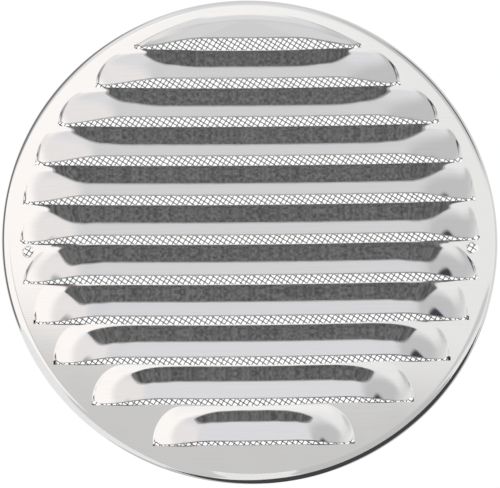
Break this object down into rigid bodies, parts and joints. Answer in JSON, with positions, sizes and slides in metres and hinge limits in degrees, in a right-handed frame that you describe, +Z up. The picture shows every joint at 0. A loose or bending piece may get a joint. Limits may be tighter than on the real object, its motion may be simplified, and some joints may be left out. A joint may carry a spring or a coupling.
{
  "type": "round louvred vent cover",
  "caption": "Round wall vent cover pressed from polished sheet metal, with forward louvres, a rolled rim, a woven insect mesh behind and a screw hole at each side.",
  "frame": {"origin": "on the front plane of the face, midway between the two screw holes", "axes": "-Y is the way the face looks, out of the wall; +Z is up as the cover hangs; +X is to the right seen from the front"},
  "size_m": [0.21, 0.0162, 0.21],
  "materials": {
    "cover": "bright polished sheet",
    "mesh": "dull woven wire"
  },
  "bodies": {
    "root": {"louvred_cover": "cover", "insect_mesh": "mesh"}
  },
  "joints": []
}
